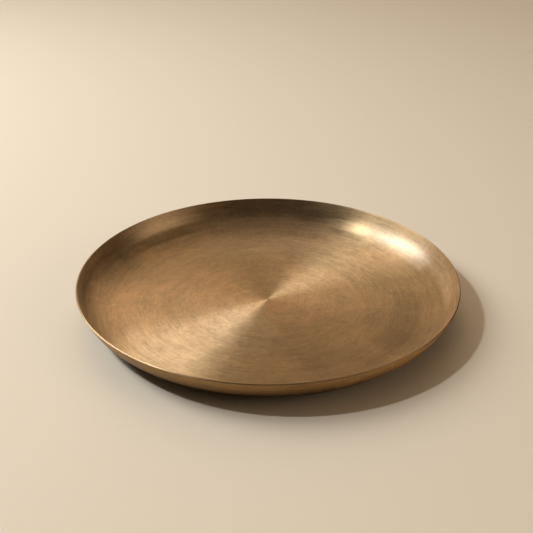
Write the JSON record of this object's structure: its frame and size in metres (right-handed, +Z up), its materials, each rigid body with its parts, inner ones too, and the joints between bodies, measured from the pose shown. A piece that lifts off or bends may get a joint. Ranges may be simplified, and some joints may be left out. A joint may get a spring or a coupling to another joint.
{
  "type": "thali plate",
  "caption": "Round sheet brass dining plate with a flat floor, a wide curved corner and a short wall that leans outward to a plain dressed rim.",
  "frame": {"origin": "centre of the underside, on the surface that the plate rests on", "axes": "+Z up through the centre, out of the open side; +X and +Y in the plane of the table"},
  "size_m": [0.3, 0.3, 0.025],
  "materials": {
    "brass_sheet": "brushed in circles, lightly worn"
  },
  "bodies": {
    "root": {"plate": "brass_sheet"}
  },
  "joints": []
}
